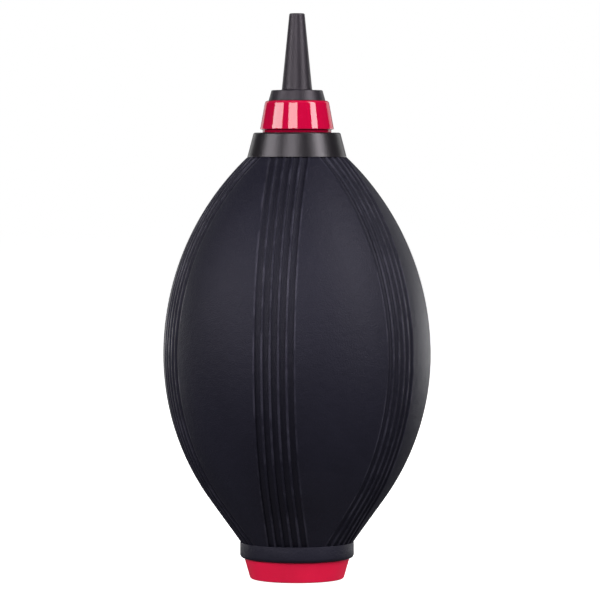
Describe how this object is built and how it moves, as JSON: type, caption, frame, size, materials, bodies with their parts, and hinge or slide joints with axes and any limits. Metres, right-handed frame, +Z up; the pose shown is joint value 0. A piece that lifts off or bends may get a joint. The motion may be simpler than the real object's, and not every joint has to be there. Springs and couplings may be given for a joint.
{
  "type": "dust blower bulb",
  "caption": "Squeezable rubber dust blower bulb with ribbed grip bands, a red plug-in foot with a one-way inlet valve, and a screw-in tapered nozzle.",
  "frame": {"origin": "centre of the foot's rest face, at the bottom of the part", "axes": "+Z up along the bulb's axis to the nozzle's tip; -Y is the front, where the thumb presses"},
  "size_m": [0.0668, 0.0668, 0.1409],
  "materials": {
    "bulb_rubber": "matte, fine grain",
    "black_plastic": "satin moulded",
    "seal_rubber": "smooth",
    "ring_red": "polished",
    "foot_red": "matte moulded",
    "filter_foam": "open-cell foam",
    "valve_plastic": "moulded",
    "valve_silicone": "smooth silicone"
  },
  "bodies": {
    "blower_body": {"bulb": "bulb_rubber", "neck_socket": "black_plastic", "neck_collar": "black_plastic", "base_cap": "foot_red", "inlet_filter": "filter_foam", "valve_seat": "valve_plastic", "valve_cage": "valve_plastic"},
    "front_wall": {"squeeze_wall_front": "bulb_rubber"},
    "back_wall": {"squeeze_wall_back": "bulb_rubber"},
    "seal_ring": {"nozzle_seal": "seal_rubber"},
    "nozzle_head": {"nozzle": "black_plastic", "lock_ring": "ring_red"},
    "inlet_valve": {"valve_disc": "valve_silicone"}
  },
  "joints": [
    {"name": "squeeze_front", "type": "slide", "parent": "blower_body", "child": "front_wall", "axis": [0, 1, 0], "range_m": [0, 0.01], "stiffness_N_per_m": 1200},
    {"name": "squeeze_back", "type": "slide", "parent": "blower_body", "child": "back_wall", "axis": [0, -1, 0], "range_m": [0, 0.01], "stiffness_N_per_m": 1200},
    {"name": "nozzle_lift", "type": "slide", "parent": "blower_body", "child": "seal_ring", "axis": [0, 0, 1], "range_m": [0, 0.0045]},
    {"name": "nozzle_turn", "type": "hinge", "parent": "seal_ring", "child": "nozzle_head", "pos_m": [0, 0, 0.1113], "axis": [0, 0, 1], "range_deg": [0, 1080]},
    {"name": "valve_lift", "type": "slide", "parent": "blower_body", "child": "inlet_valve", "axis": [0, 0, 1], "range_m": [0, 0.0014]}
  ],
  "couplings": [
    {"joint": "squeeze_back", "follows": "squeeze_front", "ratio": 1},
    {"joint": "nozzle_lift", "follows": "nozzle_turn", "m_per_rad": 0.00023873}
  ]
}
